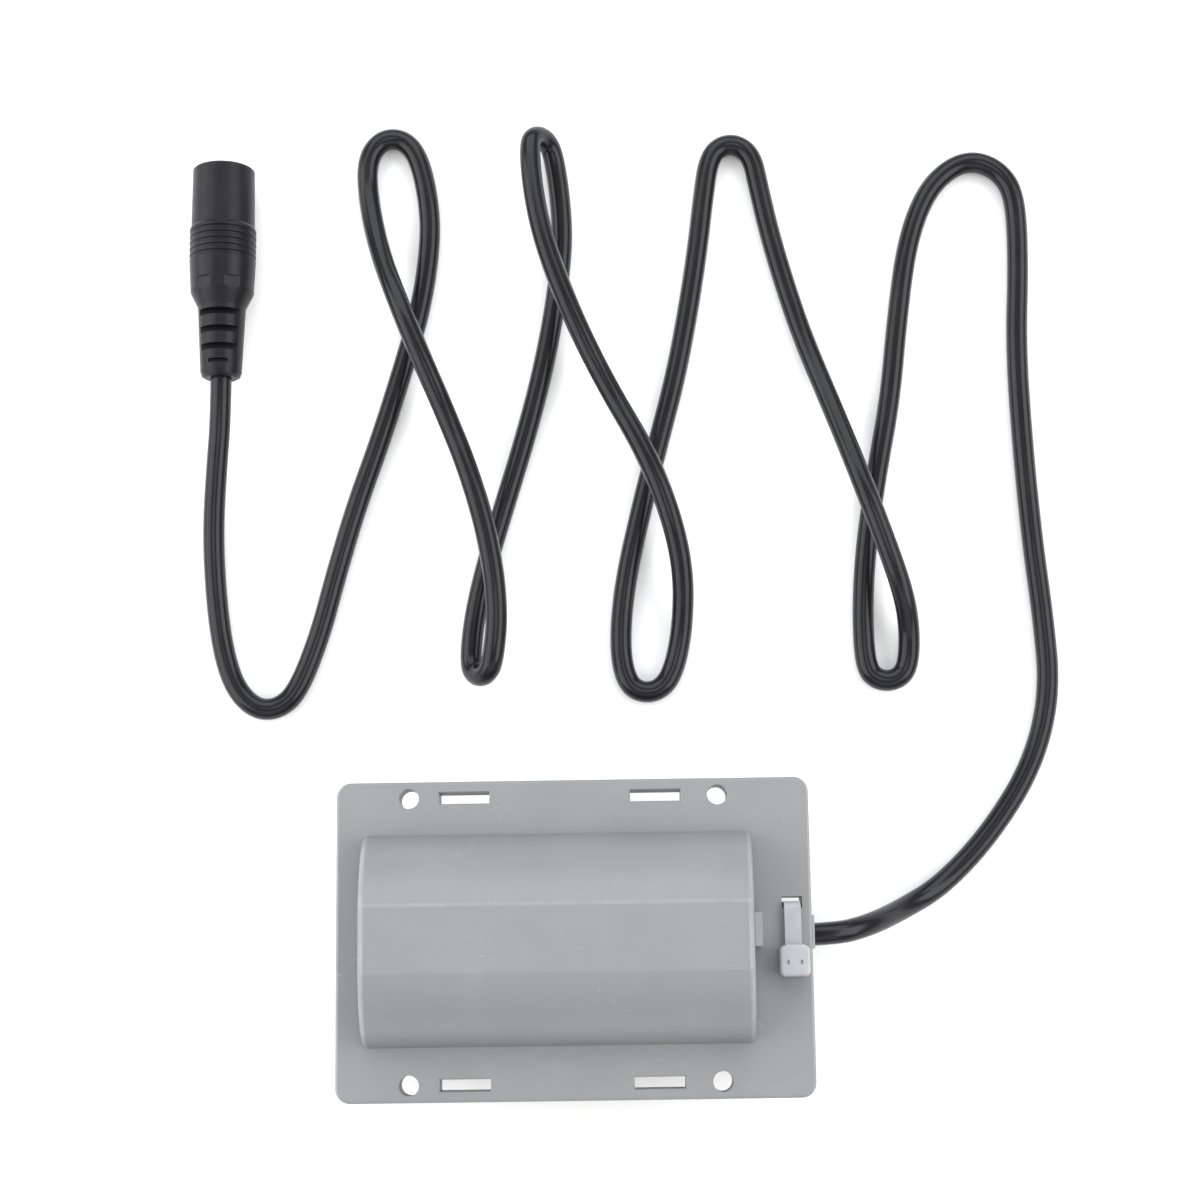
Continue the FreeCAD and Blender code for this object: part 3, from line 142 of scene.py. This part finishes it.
class Finish:
    """A Principled material that is built up from procedural layers in object space."""

    def __init__(self, name, colour, roughness, metallic=0.0, **sockets):
        self.material = bpy.data.materials.new(name)
        self.material.use_nodes = True
        tree = self.material.node_tree
        self.nodes, self.links = tree.nodes, tree.links
        self.shader = self.nodes["Principled BSDF"]
        self.place = self.nodes.new("ShaderNodeTexCoord").outputs["Object"]
        self.colour = (*colour, 1.0)
        self.shader.inputs["Base Color"].default_value = self.colour
        self.shader.inputs["Roughness"].default_value = roughness
        self.shader.inputs["Metallic"].default_value = metallic
        for key, number in sockets.items():
            self.shader.inputs[key.replace("_", " ")].default_value = number
        self.paint = None
        self.normal = None

    def add(self, kind, inputs=None, **settings):
        """A new node whose inputs are numbers or other nodes' outputs."""
        node = self.nodes.new(kind)
        for key, setting in settings.items():
            setattr(node, key, setting)
        for key, number in (inputs or {}).items():
            if isinstance(number, bpy.types.NodeSocket):
                self.links.new(number, node.inputs[key])
            else:
                node.inputs[key].default_value = number
        return node

    def stretched(self, scale):
        """Object coordinates scaled along each axis, for grain that runs one way."""
        node = self.add("ShaderNodeMapping", {"Vector": self.place, "Scale": scale})
        return node.outputs["Vector"]

    def noise(self, size_mm, detail=2.0, rough=0.5, stretch=None):
        """Noise whose blobs are about size_mm across."""
        place = self.stretched(stretch) if stretch else self.place
        inputs = {
            "Vector": place,
            "Scale": 1.0 / (MM * size_mm),
            "Detail": detail,
            "Roughness": rough,
        }
        return self.add("ShaderNodeTexNoise", inputs).outputs["Fac"]

    def spots(self, size_mm):
        """Rounded grains about size_mm across."""
        inputs = {"Vector": self.place, "Scale": 1.0 / (MM * size_mm)}
        return self.add("ShaderNodeTexVoronoi", inputs).outputs["Distance"]

    def bands(self, pitch_mm, axis="X", distortion=0.0):
        """Fine lines across one axis, a pitch apart."""
        inputs = {
            "Vector": self.place,
            "Scale": 2 * math.pi / (MM * pitch_mm) / WAVE_TURN,
            "Distortion": distortion,
            "Detail": 1.0,
        }
        wave = self.add("ShaderNodeTexWave", inputs, wave_type="BANDS", bands_direction=axis)
        return wave.outputs["Fac"]

    def remap(self, value, low, high, out_low=0.0, out_high=1.0):
        """Carries low..high to out_low..out_high, and holds the ends."""
        inputs = {
            "Value": value,
            "From Min": low,
            "From Max": high,
            "To Min": out_low,
            "To Max": out_high,
        }
        return self.add("ShaderNodeMapRange", inputs).outputs["Result"]

    def math(self, operation, *numbers):
        node = self.add("ShaderNodeMath", dict(enumerate(numbers)), operation=operation)
        return node.outputs[0]

    def times(self, product, *factors):
        for factor in factors:
            product = self.math("MULTIPLY", product, factor)
        return product

    def axis(self, name):
        """The place along one axis, in metres."""
        return self.add("ShaderNodeSeparateXYZ", {"Vector": self.place}).outputs[name]

    def facing(self, name):
        """How far the surface faces along an axis, from -1 to 1."""
        normal = self.nodes.new("ShaderNodeNewGeometry").outputs["Normal"]
        return self.add("ShaderNodeSeparateXYZ", {"Vector": normal}).outputs[name]

    def between(self, value, low_from, low_to, high_from, high_to):
        """1 between low_to and high_from, fading to 0 at low_from and high_to."""
        rise = self.remap(value, low_from, low_to)
        fall = self.remap(value, high_from, high_to, 1.0, 0.0)
        return self.times(rise, fall)

    def tint(self, colour, factor):
        """Mixes another colour over the base where factor is high."""
        node = self.add("ShaderNodeMix", data_type="RGBA")
        self.links.new(factor, node.inputs["Factor"])
        under, over = node.inputs[6], node.inputs[7]
        over.default_value = (*colour, 1.0)
        if self.paint is None:
            under.default_value = self.colour
        else:
            self.links.new(self.paint, under)
        self.paint = node.outputs[2]
        self.links.new(self.paint, self.shader.inputs["Base Color"])

    def gloss(self, factor, low, high):
        """Roughness that runs from low to high with factor."""
        self.links.new(self.remap(factor, 0.0, 1.0, low, high), self.shader.inputs["Roughness"])

    def bump(self, height, depth_mm, strength=1.0):
        """Relief of depth_mm, over any relief added before it."""
        inputs = {"Height": height, "Distance": MM * depth_mm, "Strength": strength}
        if self.normal is not None:
            inputs["Normal"] = self.normal
        self.normal = self.add("ShaderNodeBump", inputs).outputs["Normal"]
        self.links.new(self.normal, self.shader.inputs["Normal"])


def scuff(f):
    """Small pale scuffs, in patches."""
    marks = f.remap(f.noise(0.9, detail=5.0, rough=0.7, stretch=(0.6, 1.5, 1.5)), 0.62, 0.68)
    patches = f.remap(f.noise(9.0, detail=1.0), 0.55, 0.64)
    f.tint((0.3312, 0.3358, 0.3358), f.times(marks, patches, 0.5))


def painted_edge_highlights(f):
    """Painted highlights on the dome's end rounds and its crown's creases, broken up in patches."""
    patchy = f.remap(f.noise(3.0, detail=3.0), 0.3, 0.6, 0.45, 1.0)
    ends = f.between(f.math("ABSOLUTE", f.facing("X")), 0.2, 0.45, 0.75, 0.96)
    f.tint((0.368, 0.3726, 0.3726), f.times(ends, patchy, 0.4))
    creases = f.between(f.math("ABSOLUTE", f.facing("Y")), 0.03, 0.1, 0.2, 0.29)
    near_top = f.math("GREATER_THAN", f.axis("Z"), MM * (DOME_TOP - 1.0))
    # the crease on the lead's side gets a stronger painted highlight than the other
    share = f.remap(f.facing("Y"), -0.1, 0.1, 0.08, 0.4)
    f.tint((0.3036, 0.3082, 0.3082), f.times(creases, near_top, patchy, share))


def painted_guard_light(f):
    """The guard block over the lead's way out and the lip at its end are painted paler, as a
    painted highlight.
    """
    past_dome = f.math("GREATER_THAN", f.axis("X"), MM * GUARD_START)
    over_flange = f.math("GREATER_THAN", f.axis("Z"), MM * (FLANGE_TOP + HAIR))
    lip = f.math("GREATER_THAN", f.axis("X"), MM * (FLANGE_END + HAIR / 2))
    lit_parts = f.math("MAXIMUM", f.times(past_dome, over_flange), lip)
    f.tint((0.33, 0.336, 0.337), f.times(lit_parts, 0.7))


def parting_line(f):
    """A dark line where the two halves meet."""
    away = f.math("ABSOLUTE", f.math("SUBTRACT", f.axis("Z"), MM * AXIS))
    f.tint((0.0589, 0.0607, 0.0635), f.remap(away, MM * 0.04, MM * 0.11, 0.85, 0.0))


def housing_grey():
    """Satin moulded ABS: flow mottling and spark texture under scuffs from use, painted highlights
    on the dome's edges and guard, and a dark parting line.
    """
    f = Finish("housing_grey", (0.1996, 0.2038, 0.2075), 0.46)
    mottle = f.noise(14.0, detail=3.0, rough=0.55)
    f.tint((0.1803, 0.1858, 0.1904), f.remap(mottle, 0.38, 0.72, 0.0, 0.65))
    f.tint((0.2208, 0.2245, 0.2245), f.remap(f.noise(5.0, detail=4.0), 0.55, 0.8, 0.0, 0.35))
    scuff(f)
    painted_edge_highlights(f)
    painted_guard_light(f)
    parting_line(f)
    f.gloss(f.noise(1.2, detail=4.0), 0.36, 0.54)
    f.bump(f.noise(0.16, detail=1.0), 0.006, 0.5)
    f.bump(f.noise(6.0, detail=1.0), 0.05, 0.25)
    return f.material


def tie_nylon():
    """Natural nylon: milky, slightly waxy, with faint moulding ripples."""
    waxy = {"Subsurface_Weight": 0.35, "Subsurface_Scale": MM}
    f = Finish("tie_nylon", (0.375, 0.388, 0.412), 0.34, **waxy)
    f.tint((0.31, 0.322, 0.348), f.remap(f.noise(2.5, detail=3.0), 0.4, 0.75, 0.0, 0.6))
    f.gloss(f.noise(0.8), 0.3, 0.48)
    f.bump(f.noise(0.5, detail=2.0), 0.012, 0.5)
    return f.material


def lead_black():
    """Extruded PVC jacket: near black and glossy, slightly wavy, with handling haze."""
    f = Finish("lead_black", (0.009, 0.009, 0.0105), 0.2, Specular_IOR_Level=0.24)
    f.tint((0.014, 0.014, 0.016), f.remap(f.noise(7.0, detail=4.0), 0.45, 0.8, 0.0, 0.8))
    f.gloss(f.noise(3.0, detail=5.0, rough=0.6), 0.12, 0.3)
    f.bump(f.noise(0.7, detail=2.0), 0.01, 0.35)
    return f.material


def socket_black():
    """Soft moulded PVC: duller than the lead."""
    f = Finish("socket_black", (0.0082, 0.0072, 0.009), 0.34, Specular_IOR_Level=0.2)
    f.tint((0.013, 0.0125, 0.0145), f.remap(f.noise(3.5, detail=4.0), 0.5, 0.8, 0.0, 0.7))
    f.gloss(f.noise(1.4, detail=4.0), 0.26, 0.44)
    f.bump(f.noise(0.22, detail=1.0), 0.008, 0.5)
    return f.material


def insert_black():
    """Hard moulded plastic with fine turning lines from its mould."""
    f = Finish("insert_black", (0.012, 0.012, 0.013), 0.3, Specular_IOR_Level=0.3)
    f.tint((0.028, 0.028, 0.03), f.remap(f.noise(1.6, detail=3.0), 0.5, 0.8, 0.0, 0.6))
    f.gloss(f.noise(0.9), 0.24, 0.4)
    f.bump(f.bands(0.25, "Y"), 0.004, 0.4)
    return f.material


def metal(name, colour, dark, roughness, grain, spread=0.12, pitch=None):
    """Worked metal: blotchy oxide, streaks along the grain, and turning lines if it has a pitch."""
    f = Finish(name, colour, roughness, metallic=1.0)
    f.tint(dark, f.remap(f.noise(4.0, detail=5.0, rough=0.6), 0.45, 0.75, 0.0, 0.6))
    streaks = f.noise(0.6, detail=3.0, stretch=grain)
    f.gloss(streaks, roughness - spread, roughness + spread)
    f.bump(f.bands(pitch, distortion=0.3) if pitch else streaks, 0.004, 0.6)
    return f.material


def matt(name, colour, pale, roughness, size_mm, depth):
    """Pressed or sintered powder: speckled and rough."""
    f = Finish(name, colour, roughness)
    f.tint(pale, f.remap(f.noise(size_mm, detail=6.0, rough=0.7), 0.5, 0.75, 0.0, 0.7))
    f.gloss(f.noise(size_mm * 3), roughness - 0.1, roughness + 0.1)
    f.bump(f.spots(size_mm), depth, 0.6)
    return f.material


def plastic(name, colour, pale, roughness):
    """Moulded plastic that nothing has rubbed: faint flow marks and a fine grain."""
    f = Finish(name, colour, roughness)
    f.tint(pale, f.remap(f.noise(3.0, detail=3.0), 0.45, 0.8, 0.0, 0.5))
    f.gloss(f.noise(1.0), roughness - 0.08, roughness + 0.08)
    f.bump(f.noise(0.25), 0.006, 0.5)
    return f.material


def enamelled_copper():
    """Wound wire: each turn a rounded line, under a glossy enamel."""
    f = Finish("enamelled_copper", (0.62, 0.22, 0.08), 0.28, metallic=0.9, Coat_Weight=0.6)
    # painted shade: the copper is darker in the grooves between turns
    f.tint((0.38, 0.1, 0.03), f.remap(f.bands(WIRE_PITCH, "Z"), 0.0, 0.5, 0.8, 0.0))
    f.gloss(f.noise(0.8), 0.2, 0.36)
    f.bump(f.bands(WIRE_PITCH, "Z"), 0.08, 1.0)
    return f.material


def laminated_steel():
    """Stacked sheets: a dark line every half millimetre along the shaft."""
    f = Finish("core_steel", (0.36, 0.37, 0.4), 0.42, metallic=1.0)
    f.tint((0.08, 0.08, 0.09), f.remap(f.bands(SHEET_PITCH), 0.0, 0.25, 0.9, 0.0))
    f.gloss(f.noise(1.5, detail=3.0), 0.32, 0.52)
    f.bump(f.bands(SHEET_PITCH), 0.03, 0.8)
    return f.material


FINISHES = {
    "housing_grey": housing_grey(),
    "tie_nylon": tie_nylon(),
    "lead_black": lead_black(),
    "socket_black": socket_black(),
    "insert_black": insert_black(),
    "can_steel": metal("can_steel", (0.62, 0.62, 0.6), (0.42, 0.42, 0.4), 0.34, (0.2, 1, 1)),
    "cap_black": plastic("cap_black", (0.03, 0.03, 0.032), (0.05, 0.05, 0.052), 0.45),
    "bronze": metal("bronze", (0.55, 0.36, 0.17), (0.3, 0.18, 0.08), 0.42, (1, 1, 1)),
    "ferrite": matt("ferrite", (0.05, 0.05, 0.053), (0.1, 0.1, 0.105), 0.7, 0.4, 0.03),
    "spring_steel": metal("spring_steel", (0.5, 0.51, 0.53), (0.3, 0.31, 0.36), 0.28, (0.1, 1, 1)),
    "carbon": matt("carbon", (0.02, 0.02, 0.02), (0.045, 0.044, 0.043), 0.62, 0.25, 0.02),
    "terminal_brass": metal(
        "terminal_brass", (0.72, 0.53, 0.23), (0.45, 0.3, 0.1), 0.3, (0.1, 1, 1)
    ),
    "wire_red": plastic("wire_red", (0.45, 0.02, 0.015), (0.55, 0.05, 0.035), 0.34),
    "wire_black": plastic("wire_black", (0.02, 0.02, 0.021), (0.035, 0.035, 0.036), 0.34),
    "contact_nickel": metal(
        "contact_nickel", (0.68, 0.66, 0.6), (0.5, 0.48, 0.43), 0.2, (1, 0.1, 1), 0.08
    ),
    "shaft_steel": metal(
        "shaft_steel", (0.66, 0.66, 0.67), (0.5, 0.5, 0.52), 0.2, (1, 1, 1), 0.08, 0.15
    ),
    "core_steel": laminated_steel(),
    "enamelled_copper": enamelled_copper(),
    "hub_resin": plastic("hub_resin", (0.09, 0.035, 0.015), (0.14, 0.06, 0.03), 0.4),
    "copper": metal("copper", (0.8, 0.4, 0.24), (0.45, 0.2, 0.12), 0.26, (0.1, 1, 1)),
    "spacer_nylon": plastic("spacer_nylon", (0.6, 0.6, 0.56), (0.7, 0.7, 0.66), 0.42),
    "weight_steel": metal(
        "weight_steel", (0.4, 0.4, 0.41), (0.26, 0.26, 0.27), 0.4, (1, 1, 1), 0.1, 0.3
    ),
}


def dress_nodes():
    """Gives each CAD node the finish of its own material slot in the record."""
    for row in frame["record"]["subparts"]:
        thing = NODES[row["node"]]
        finish = FINISHES[row["material_slot"]]
        thing.data.materials.clear()
        thing.data.materials.append(finish)
        for face in thing.data.polygons:
            face.material_index = 0


# ---------------------------------------------------------------- floor and light
FLOOR_HALF = 4.0
FLOOR_DROP = 0.05 * MM  # so that no foot shares the floor's plane
AIM = Vector((0.0, 0.03, 0.01))
WORLD_STRENGTH = 0.315
WHITE = (1.0, 1.0, 1.0)
COOL = (0.975, 1.0, 1.03)
WARM = (1.0, 0.98, 0.95)
# azimuth and elevation in degrees, then distance and size in metres, power in watts and colour
SOFTBOXES = {
    "left": (180, 40, 1.0, (1.2, 0.7), 8.1, WHITE),
    "left_low": (180, 15, 1.0, (1.2, 0.35), 3.9, WHITE),
    "right": (0, 40, 1.0, (1.2, 0.7), 10.1, WHITE),
    "back": (90, 40, 1.0, (1.2, 0.7), 7.5, COOL),
    "front": (270, 40, 1.0, (1.2, 0.7), 3.0, WARM),
    "top": (90, 90, 1.3, (0.5, 0.5), 2.1, WHITE),
}


def make_floor():
    mesh = bpy.data.meshes.new("floor")
    signs = [(-1, -1), (1, -1), (1, 1), (-1, 1)]
    corners = [(x * FLOOR_HALF, y * FLOOR_HALF, 0) for x, y in signs]
    mesh.from_pydata(corners, [], [(0, 1, 2, 3)])
    floor = bpy.data.objects.new("floor", mesh)
    floor.location = (0, 0, -FLOOR_DROP)
    bpy.context.scene.collection.objects.link(floor)
    sheet = Finish("floor", (0.93, 0.93, 0.93), 0.9, Specular_IOR_Level=0.1)
    sheet.tint((0.9, 0.9, 0.9), sheet.remap(sheet.noise(60.0), 0.4, 0.8, 0.0, 0.3))
    mesh.materials.append(sheet.material)


def make_softbox(name, azimuth, elevation, distance, size, power, colour):
    """A rectangular light that faces AIM."""
    data = bpy.data.lights.new(name, "AREA")
    data.shape = "RECTANGLE"
    data.size, data.size_y = size
    data.energy = power
    data.color = colour
    light = bpy.data.objects.new(name, data)
    bpy.context.scene.collection.objects.link(light)
    turn, rise = math.radians(azimuth), math.radians(elevation)
    flat = math.cos(rise)
    away = Vector((flat * math.cos(turn), flat * math.sin(turn), math.sin(rise)))
    light.location = AIM + distance * away
    light.rotation_euler = (-away).to_track_quat("-Z", "Y").to_euler()


def make_light():
    world = bpy.data.worlds.new("studio")
    world.use_nodes = True
    background = world.node_tree.nodes["Background"]
    background.inputs["Color"].default_value = (*WHITE, 1.0)
    background.inputs["Strength"].default_value = WORLD_STRENGTH
    bpy.context.scene.world = world
    for name, settings in SOFTBOXES.items():
        make_softbox(name, *settings)
    bpy.context.scene.view_settings.view_transform = "Standard"


# ---------------------------------------------------------------- the scene
make_camera()
lead = make_lead()
lead.data.materials.append(FINISHES["lead_black"])
dress_nodes()
make_floor()
make_light()
